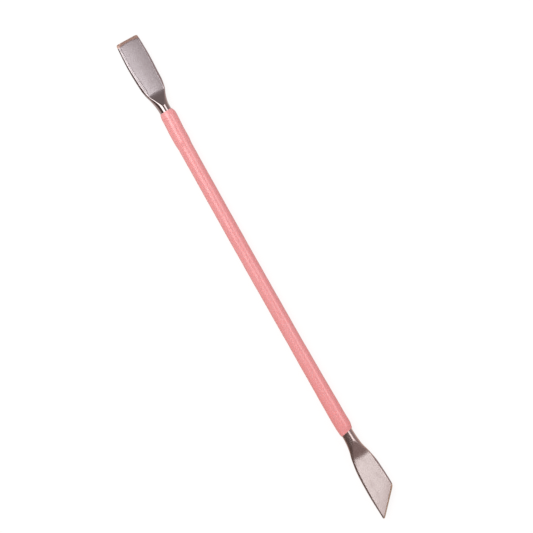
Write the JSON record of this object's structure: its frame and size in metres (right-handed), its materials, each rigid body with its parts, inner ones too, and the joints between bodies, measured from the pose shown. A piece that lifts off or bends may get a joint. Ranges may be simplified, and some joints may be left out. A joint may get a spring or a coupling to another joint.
{
  "type": "cuticle pusher",
  "caption": "Slim steel manicure tool with a square flat pusher blade at one end, a slanted scraper blade at the other and a tight plastic grip sleeve between.",
  "frame": {"origin": "middle of the grip sleeve, on the rod's axis", "axes": "+X along the rod towards the slanted blade's point, -X towards the square blade, +Z square to the blades' flat faces"},
  "size_m": [0.1302, 0.0065, 0.0038],
  "materials": {
    "steel": "polished stainless steel with fine grinding marks on the flat blades",
    "grip": "soft satin plastic, salmon pink"
  },
  "bodies": {
    "root": {"steel_core": "steel", "grip_sleeve": "grip"}
  },
  "joints": []
}
